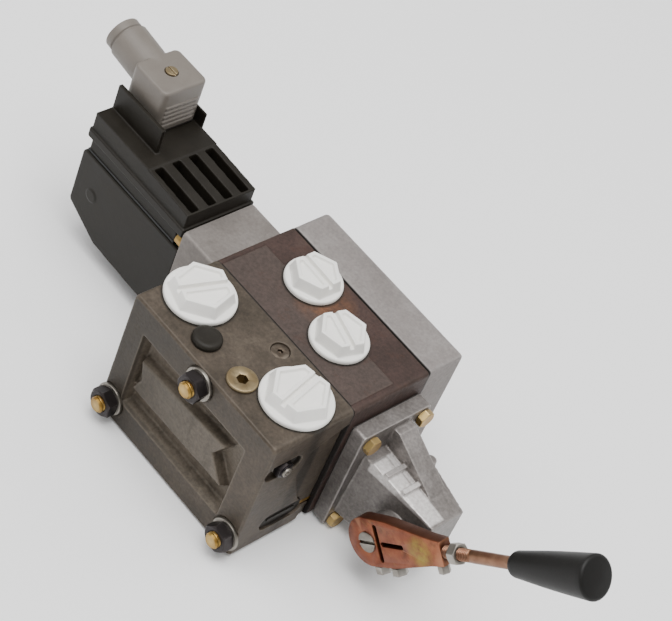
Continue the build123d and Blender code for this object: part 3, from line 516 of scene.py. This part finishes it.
def smooth_mesh(mesh, angle=None):
    """Smooth shading, with edges sharper than the angle kept crisp."""
    for face in mesh.polygons:
        face.use_smooth = True
    if angle:
        mesh.set_sharp_from_angle(angle=math.radians(angle))
    return mesh


def loose(name, mesh):
    """An object that only carries a mesh through its modifiers."""
    carrier = bpy.data.objects.new(name + "_work", mesh)
    bpy.context.scene.collection.objects.link(carrier)
    return carrier


def bevelled(mesh, name, width, segments=3, angle=30):
    """Rounds the edges of a mesh that are sharper than an angle."""
    carrier = loose(name, mesh)
    bevel = carrier.modifiers.new("bevel", "BEVEL")
    bevel.width = width
    bevel.segments = segments
    bevel.limit_method = "ANGLE"
    bevel.angle_limit = math.radians(angle)
    return smooth_mesh(bake_modifiers(carrier), 40)


def row_mesh(node):
    """A copy of a CAD node's mesh in the row frame."""
    shape = frame["nodes"][node]
    mesh = shape.data.copy()
    mesh.transform(shape.matrix_world)
    return mesh


def melted(mesh, name, voxel, passes=3):
    """A fine even mesh of a closed shape, with softened edges."""
    carrier = loose(name, mesh)
    remesh = carrier.modifiers.new("remesh", "REMESH")
    remesh.mode = "VOXEL"
    remesh.voxel_size = voxel
    smooth = carrier.modifiers.new("smooth", "SMOOTH")
    smooth.factor = 0.5
    smooth.iterations = passes
    return smooth_mesh(bake_modifiers(carrier))


def sand(mesh, depth, size, lump=0.004):
    """Sinks a mesh a little, unevenly, like the skin of a casting."""
    normals = [vertex.normal.copy() for vertex in mesh.vertices]
    for vertex, normal in zip(mesh.vertices, normals):
        coarse = noise.noise(vertex.co / lump)
        fine = noise.noise(vertex.co / size)
        vertex.co -= normal * depth * (1.0 + 0.5 * coarse + 0.5 * fine)
    return mesh


def cast_from(node, name, voxel, passes=3, grain=0.00006):
    """A CAD casting with softened edges and a sandy skin."""
    mesh = sand(melted(row_mesh(node), name, voxel, passes), grain, voxel * 2.2)
    return link(name, mesh, node)


def softened(node, name, width, segments=2, angle=30):
    """A CAD node with rounded edges."""
    bm = bmesh.new()
    bm.from_mesh(row_mesh(node))
    bmesh.ops.remove_doubles(bm, verts=bm.verts, dist=1e-6)
    bmesh.ops.dissolve_limit(bm, angle_limit=math.radians(0.8), verts=bm.verts, edges=bm.edges)
    mesh = bpy.data.meshes.new(name)
    bm.to_mesh(mesh)
    bm.free()
    return link(name, bevelled(mesh, name, width, segments, angle), node)


def prism(name, foot, top):
    """A closed solid between two rings of the same number of points."""
    bm = bmesh.new()
    low = [bm.verts.new(point) for point in foot]
    high = [bm.verts.new(point) for point in top]
    count = len(low)
    for step in range(count):
        after = (step + 1) % count
        bm.faces.new((low[step], low[after], high[after], high[step]))
    bm.faces.new(high)
    bm.faces.new(reversed(low))
    bmesh.ops.recalc_face_normals(bm, faces=bm.faces)
    mesh = bpy.data.meshes.new(name)
    bm.to_mesh(mesh)
    bm.free()
    return mesh


def polygon_ring(middle, radius, count, turn, z):
    """Corners of a regular polygon, flat at a height."""
    ring = []
    for step in range(count):
        angle = math.radians(turn + 360 * step / count)
        ring.append(Vector((middle.x + radius * math.cos(angle), middle.y + radius * math.sin(angle), z)))
    return ring


def bar_ring(middle, length, width, turn, z):
    """Corners of a rectangle turned about Z, flat at a height."""
    spin = Matrix.Rotation(math.radians(turn), 3, "Z")
    half = ((-1, -1), (1, -1), (1, 1), (-1, 1))
    flat = Vector((middle.x, middle.y, z))
    return [flat + spin @ Vector((a * length / 2, b * width / 2, 0)) for a, b in half]


def shaped(name, mesh, *steps):
    """Adds and removes solids in turn; each step is an operation and a mesh."""
    carrier = loose(name, mesh)
    tools = []
    for operation, other in steps:
        tool = loose(name + "_tool", other)
        tools.append(tool)
        cut = carrier.modifiers.new(operation, "BOOLEAN")
        cut.operation = operation
        cut.object = tool
        cut.solver = "EXACT"
    result = bake_modifiers(carrier)
    for tool in tools:
        bpy.data.objects.remove(tool)
    return result


def frame_along(axis):
    """A rotation that turns local Z onto an axis."""
    return Vector(axis).to_track_quat("Z", "Y").to_matrix()


def turned(name, rings, start, axis, steps=96):
    """A turned shape: rings of (distance along the axis, radius) from a start point.

    A distance or a radius may be a function of the angle.
    """
    basis = frame_along(axis)
    start = Vector(start)
    bm = bmesh.new()
    loops = []
    for along, radius in rings:
        if radius == 0:
            loops.append([bm.verts.new(start + basis @ Vector((0, 0, along)))])
            continue
        loop = []
        for step in range(steps):
            turn = 2 * math.pi * step / steps
            r = radius(turn) if callable(radius) else radius
            h = along(turn) if callable(along) else along
            loop.append(bm.verts.new(start + basis @ Vector((r * math.cos(turn), r * math.sin(turn), h))))
        loops.append(loop)
    for first, second in zip(loops, loops[1:]):
        count = max(len(first), len(second))
        for step in range(count):
            a = first[step % len(first)]
            b = first[(step + 1) % len(first)]
            c = second[(step + 1) % len(second)]
            d = second[step % len(second)]
            corners = [v for i, v in enumerate((a, b, c, d)) if v not in (a, b, c, d)[:i]]
            if len(corners) > 2:
                bm.faces.new(corners)
    if len(loops[0]) > 1 and loops[0] is not loops[-1]:
        first, last = loops[0], loops[-1]
        if rings[0] != rings[-1]:
            if len(first) > 2:
                bm.faces.new(reversed(first))
            if len(last) > 2:
                bm.faces.new(last)
        else:
            bmesh.ops.remove_doubles(bm, verts=bm.verts, dist=1e-7)
    bmesh.ops.recalc_face_normals(bm, faces=bm.faces)
    mesh = bpy.data.meshes.new(name)
    bm.to_mesh(mesh)
    bm.free()
    return mesh


def hex_radius(across, turn, phase=0.0):
    """Distance to a hexagon's side at an angle."""
    sector = math.radians(60)
    local = (turn + phase) % sector - sector / 2
    return across / 2 / math.cos(local)


def hex_nut(name, across, height, bore, start, axis, phase=0.0, cap=False):
    """A hexagon with turned chamfers on both faces; with a cap it has no bore."""
    flat = across / 2 * 0.96
    rise = math.tan(math.radians(30))

    def edge(turn):
        return hex_radius(across, turn, phase)

    def low(turn):
        return (edge(turn) - flat) * rise

    def high(turn):
        return height - (edge(turn) - flat) * rise

    rings = [(0, flat), (low, edge), (high, edge), (height, flat)]
    if cap:
        return turned(name, [(0, 0)] + rings + [(height, 0)], start, axis)
    lead = bore * 0.12
    rings += [(height, bore + lead), (height - lead, bore), (lead, bore), (0, bore + lead), (0, flat)]
    return turned(name, rings, start, axis)


def thread_rings(length, radius, pitch, depth):
    """Rings of a screw thread, for the turned shape."""
    steps = 8
    count = int(length / pitch * steps)
    rings = []
    for index in range(count + 1):
        along = length * index / count

        def surface(turn, along=along):
            wave = (along / pitch + turn / (2 * math.pi)) % 1.0
            fade = min(1.0, along / pitch, (length - along) / pitch + 0.3)
            return radius - depth * fade * (1 - abs(2 * wave - 1))

        rings.append((along, surface))
    return rings


def joined(name, meshes):
    """One mesh from several."""
    bm = bmesh.new()
    for mesh in meshes:
        bm.from_mesh(mesh)
    whole = bpy.data.meshes.new(name)
    bm.to_mesh(whole)
    bm.free()
    return whole


# ------------------------------------------------------------ tie rods and their fasteners

ROD_RADIUS = 4.0 * MM
ROD_PITCH = 1.25 * MM
ROD_PLACES = [(0.0, 70.5 * MM), (-43.5 * MM, 11.0 * MM), (43.5 * MM, 11.0 * MM)]
NUT_ACROSS = 13.0 * MM
NUT_HEIGHT = 5.8 * MM
WASHER_RADIUS = 8.2 * MM
WASHER_HEIGHT = 1.6 * MM
UP = (0, 0, 1)
RIGHT = (1, 0, 0)
BACKWARDS = (0, 1, 0)


def threaded_rod(name, start, axis, length, radius, threads, pitch):
    """A rod with a rolled thread at one or both ends, and chamfered tips."""
    depth = 0.6 * pitch
    tip = 0.8 * pitch
    first, last = threads
    rings = [(0, 0), (0, radius - depth), (tip, radius - 0.2 * depth)]
    if first:
        rings += [(tip + a, r) for a, r in thread_rings(first, radius, pitch, depth)]
        rings.append((tip + first + pitch, radius))
    if last:
        rings.append((length - last - tip - pitch, radius))
        rings += [(length - last - tip + a, r) for a, r in thread_rings(last, radius, pitch, depth)]
    rings += [(length - tip, radius - 0.2 * depth), (length, radius - depth), (length, 0)]
    return turned(name, rings, start, axis, 36)


def washer(radius, bore, height, start, axis):
    """A flat washer with rounded rims."""
    soft = 0.25 * MM
    rings = [(0, bore), (0, radius - soft), (soft * 0.3, radius - soft * 0.3), (soft, radius)]
    rings += [(height - soft, radius), (height - soft * 0.3, radius - soft * 0.3), (height, radius - soft)]
    rings += [(height, bore), (0, bore)]
    return turned("washer", rings, start, axis, 64)


def add_tie_rods():
    """Three rods screwed into the end plate, each with a washer and a nut at the front."""
    low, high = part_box("tie_rods")
    rods = []
    for x, z in ROD_PLACES:
        threads = (12 * MM, 18 * MM)
        start = (x, low.y, z)
        rods.append(threaded_rod("rod", start, BACKWARDS, high.y - low.y, ROD_RADIUS, threads, ROD_PITCH))
    link("threaded_tie_rods", smooth_mesh(joined("rods", rods), 50), "tie_rods")
    washers_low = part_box("tie_rod_washers")[0]
    nuts_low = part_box("tie_rod_nuts")[0]
    washers = []
    nuts = []
    for index, (x, z) in enumerate(ROD_PLACES):
        phase = math.radians(11 + 19 * index)
        seat = (x, washers_low.y, z)
        washers.append(washer(WASHER_RADIUS, 4.2 * MM, WASHER_HEIGHT, seat, BACKWARDS))
        start = (x, nuts_low.y, z)
        nuts.append(hex_nut("nut", NUT_ACROSS, NUT_HEIGHT, ROD_RADIUS + 0.02 * MM, start, BACKWARDS, phase))
    link("flat_washers", smooth_mesh(joined("washers", washers), 40), "tie_rod_washers")
    link("black_hex_nuts", smooth_mesh(joined("nuts", nuts), 25), "tie_rod_nuts")


# ------------------------------------------------------------ port plugs

CROWN_HEIGHT = 8.8 * MM
FLANGE_HEIGHT = 2.65 * MM
# how far each crown is turned, in degrees
PLUG_TURNS = {"pump_port_plug": 102, "tank_port_plug": 73, "work_port_plug_a": -2, "work_port_plug_b": -16}


def port_plug(node, turn):
    """A white moulded plug: round flange, and a hollow hexagonal crown with a slotted bar across it."""
    low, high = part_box(node)
    middle = (low + high) / 2
    flange = (high.x - low.x) / 2
    face = high.z - CROWN_HEIGHT
    shank = flange * 0.65
    depth = face - low.z
    rings = [(-depth, 0), (-depth, shank - 0.4 * MM), (-depth + 0.5 * MM, shank), (0, shank)]
    rings.append((0, flange - 0.4 * MM))
    rings += [(0.4 * MM, flange), (1.7 * MM, flange), (2.3 * MM, flange - 0.25 * MM)]
    rings += [(FLANGE_HEIGHT, flange - 0.8 * MM), (FLANGE_HEIGHT, 0)]
    base = turned("flange", rings, (middle.x, middle.y, face), UP, 96)
    top = high.z
    corner = flange * 0.8
    apart = corner * math.cos(math.radians(30))
    wall = 1.5 * MM
    crown = prism("crown", polygon_ring(middle, flange - 0.9 * MM, 6, turn + 30, face + 2.0 * MM),
                  polygon_ring(middle, corner, 6, turn + 30, top))
    dish = prism("dish", polygon_ring(middle, corner - wall * 1.6, 6, turn + 30, top - 1.5 * MM),
                 polygon_ring(middle, corner - wall, 6, turn + 30, top + 1 * MM))
    bar = prism("bar", bar_ring(middle, apart * 2 - 1.2 * MM, 6.4 * MM, turn, top - 3 * MM),
                bar_ring(middle, apart * 2 - 1.2 * MM, 5.6 * MM, turn, top - 0.1 * MM))
    slot = prism("slot", bar_ring(middle, apart * 2 + 4 * MM, 2.2 * MM, turn, top - 2.6 * MM),
                 bar_ring(middle, apart * 2 + 4 * MM, 2.6 * MM, turn, top + 1 * MM))
    crown = shaped("crown", crown, ("DIFFERENCE", dish), ("UNION", bar), ("DIFFERENCE", slot))
    mesh = melted(joined(node, [base, crown]), node, 0.32 * MM, 2)
    link("moulded_" + node, mesh, node)


def add_plugs():
    """The four white plugs, the black button plug and the brass coloured socket plug."""
    for node, turn in PLUG_TURNS.items():
        port_plug(node, turn)
    add_button_plug()
    add_socket_plug()
    softened("pilot_port_plug", "small_socket_plug", 0.2 * MM)
    softened("drain_plug", "long_drain_cover", 0.15 * MM)


PLUG_DEPTH = 9 * MM
PLUG_SHANK = 5.6 * MM
BUTTON_EDGE = 0.2 * MM
SOCKET_EDGE = 0.15 * MM


def add_button_plug():
    """The black plug: a low rounded button."""
    low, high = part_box("load_sense_plug")
    middle = (low + high) / 2
    radius = (high.x - low.x) / 2
    face = high.z - 3.2 * MM
    rings = [(-PLUG_DEPTH, 0), (-PLUG_DEPTH, PLUG_SHANK), (0, PLUG_SHANK), (0, radius - BUTTON_EDGE)]
    rings.append((0.3 * MM, radius))
    rings += [(1.4 * MM, radius), (2.2 * MM, radius - 0.35 * MM), (2.8 * MM, radius - 1.1 * MM)]
    rings += [(3.1 * MM, radius - 2.4 * MM), (2.9 * MM, radius * 0.55), (2.8 * MM, 0)]
    mesh = turned("button", rings, (middle.x, middle.y, face), UP, 72)
    link("button_plug", smooth_mesh(mesh, 60), "load_sense_plug")


def add_socket_plug():
    """The brass coloured plug: a flat flange with a hexagon socket."""
    low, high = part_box("gauge_port_plug")
    middle = (low + high) / 2
    radius = (high.x - low.x) / 2
    face = high.z - 1.6 * MM

    def socket(turn):
        return hex_radius(5.0 * MM, turn, math.radians(14))

    floor = -4.4 * MM
    rings = [(-PLUG_DEPTH, 0), (-PLUG_DEPTH, PLUG_SHANK), (0, PLUG_SHANK), (0, radius - SOCKET_EDGE)]
    rings.append((0.15 * MM, radius))
    rings += [(1.0 * MM, radius), (1.45 * MM, radius - 0.35 * MM), (1.6 * MM, radius - 0.9 * MM)]
    rings += [(1.6 * MM, 3.5 * MM), (1.3 * MM, socket), (floor, socket), (floor, 0)]
    mesh = turned("socket_plug", rings, (middle.x, middle.y, face), UP, 96)
    link("brass_socket_plug", smooth_mesh(mesh, 35), "gauge_port_plug")


# ------------------------------------------------------------ relief valve


def add_relief_valve():
    """A washer, a hexagonal body and the adjusting screw on the inlet's end."""
    low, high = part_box("relief_valve_washer")
    middle = (low + high) / 2
    mesh = washer((high.z - low.z) / 2, 3.7 * MM, high.x - low.x, (low.x, middle.y, middle.z), RIGHT)
    link("relief_washer", smooth_mesh(mesh, 40), "relief_valve_washer")
    softened("relief_valve_body", "relief_hex_body", 0.3 * MM, 2, 25)
    softened("relief_adjusting_screw", "relief_screw", 0.2 * MM)


# ------------------------------------------------------------ hand lever

LEVER_ANGLE = math.radians(44.5)
LEVER_WAY = Vector((math.cos(LEVER_ANGLE), 0, math.sin(LEVER_ANGLE)))
PIVOT = Vector((86.6, -18.7, 27.6)) * MM
KNOB_START = 89.0 * MM
KNOB_END = 136.0 * MM


def on_lever(along):
    """A point on the lever rod's axis, by its distance from the pivot."""
    return PIVOT + LEVER_WAY * along


def add_knob():
    """A tapered satin knob: rounded at the rod, with a nearly flat end."""
    length = KNOB_END - KNOB_START
    small = 6.0 * MM
    large = 9.88 * MM
    bulge = 0.3 * MM
    nose = 3.6 * MM
    rim = 2.0 * MM
    rings = [(14 * MM, 0), (14 * MM, 3.02 * MM), (0.4 * MM, 3.02 * MM), (0, 3.5 * MM)]
    for step in range(10):
        angle = math.pi / 2 * step / 9
        rings.append((nose * (1 - math.cos(angle)), 3.8 * MM + (small - 3.8 * MM) * math.sin(angle)))
    for step in range(1, 18):
        part = step / 17
        swell = bulge * math.sin(math.pi * part)
        rings.append((nose + (length - nose - rim) * part, small + (large - small) * part + swell))
    for step in range(1, 9):
        angle = math.pi / 2 * step / 8
        along = length - rim + (rim - 0.5 * MM) * math.sin(angle)
        rings.append((along, large - rim * (1 - math.cos(angle))))
    rings += [(length - 0.15 * MM, 5.0 * MM), (length, 2.0 * MM), (length, 0)]
    mesh = turned("knob", rings, on_lever(KNOB_START), LEVER_WAY, 96)
    link("tapered_knob", smooth_mesh(mesh, 60), "lever_knob")


def add_lever():
    """The base, its shaft end and screws, the threaded rod, the lock nut and the knob."""
    softened("lever_base", "chromated_lever_base", 0.4 * MM, 2)
    softened("lever_shaft", "slotted_shaft", 0.3 * MM)
    softened("lever_base_screws", "clamp_screws", 0.25 * MM)
    rod = threaded_rod("rod", on_lever(36.5 * MM), LEVER_WAY, 68 * MM, 3.0 * MM, (27 * MM, 0), 1.0 * MM)
    link("threaded_lever_rod", smooth_mesh(rod, 50), "lever_rod")
    nut = hex_nut("lock", 9.0 * MM, 4.6 * MM, 3.02 * MM, on_lever(52.5 * MM), LEVER_WAY, math.radians(20))
    link("thin_lock_nut", smooth_mesh(nut, 25), "lever_lock_nut")
    add_knob()


# ------------------------------------------------------------ lever housing and pilot block


HOUSING_BOLTS = ((-9.0, 60.0), (25.0, 60.0), (-9.0, 4.4), (25.0, 4.4))


def add_housing_bolts():
    """Four yellow hexagon head screws in the flange's pockets."""
    low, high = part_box("lever_housing_bolts")
    head = 3.6 * MM
    meshes = []
    for index, (y, z) in enumerate(HOUSING_BOLTS):
        foot = (low.x, y * MM, z * MM)
        seat = (high.x - head, y * MM, z * MM)
        shank = high.x - head - low.x
        meshes.append(hex_nut("head", 8.0 * MM, head, 0, seat, RIGHT, math.radians(8 + 17 * index), True))
        meshes.append(threaded_rod("shank", foot, RIGHT, shank, 1.95 * MM, (12 * MM, 0), 0.7 * MM))
    link("housing_hex_screws", smooth_mesh(joined("bolts", meshes), 25), "lever_housing_bolts")


def add_castings():
    """The five castings, with soft edges and a sandy skin."""
    cast_from("inlet_section", "inlet_iron_casting", 0.5 * MM)
    cast_from("work_section", "work_iron_casting", 0.5 * MM)
    cast_from("end_plate", "alloy_end_plate", 0.55 * MM, 3, 0.05 * MM)
    cast_from("pilot_block", "alloy_pilot_block", 0.5 * MM, 2, 0.03 * MM)
    cast_from("lever_housing", "alloy_lever_housing", 0.4 * MM, 3, 0.04 * MM)
    softened("pilot_block_screws", "yellow_cap_screws", 0.3 * MM)


# ------------------------------------------------------------ actuator and connector


def add_actuator():
    """The black shell and cover, and the grey connector with its gland."""
    cast_from("actuator_housing", "black_actuator_shell", 0.45 * MM, 2, 0.015 * MM)
    cast_from("actuator_cover", "black_slotted_cover", 0.38 * MM, 2, 0.01 * MM)
    cast_from("connector_body", "grey_connector_hood", 0.3 * MM, 3, 0.01 * MM)
    cast_from("cable_gland_nut", "grey_gland_nut", 0.25 * MM, 3, 0.01 * MM)
    softened("connector_screw", "slotted_connector_screw", 0.2 * MM)
    softened("cable_grommet", "rubber_grommet", 0.3 * MM)
    softened("cover_seal", "rubber_cover_seal", 0.2 * MM)
    softened("connector_gasket", "rubber_connector_gasket", 0.3 * MM)


add_castings()
add_tie_rods()
add_plugs()
add_relief_valve()
add_housing_bolts()
add_lever()
add_actuator()


# ------------------------------------------------------------ finishes of the CAD nodes

for node, shape in frame["nodes"].items():
    shape.data.materials.clear()
    shape.data.materials.append(paints[finish_of(node)].material)
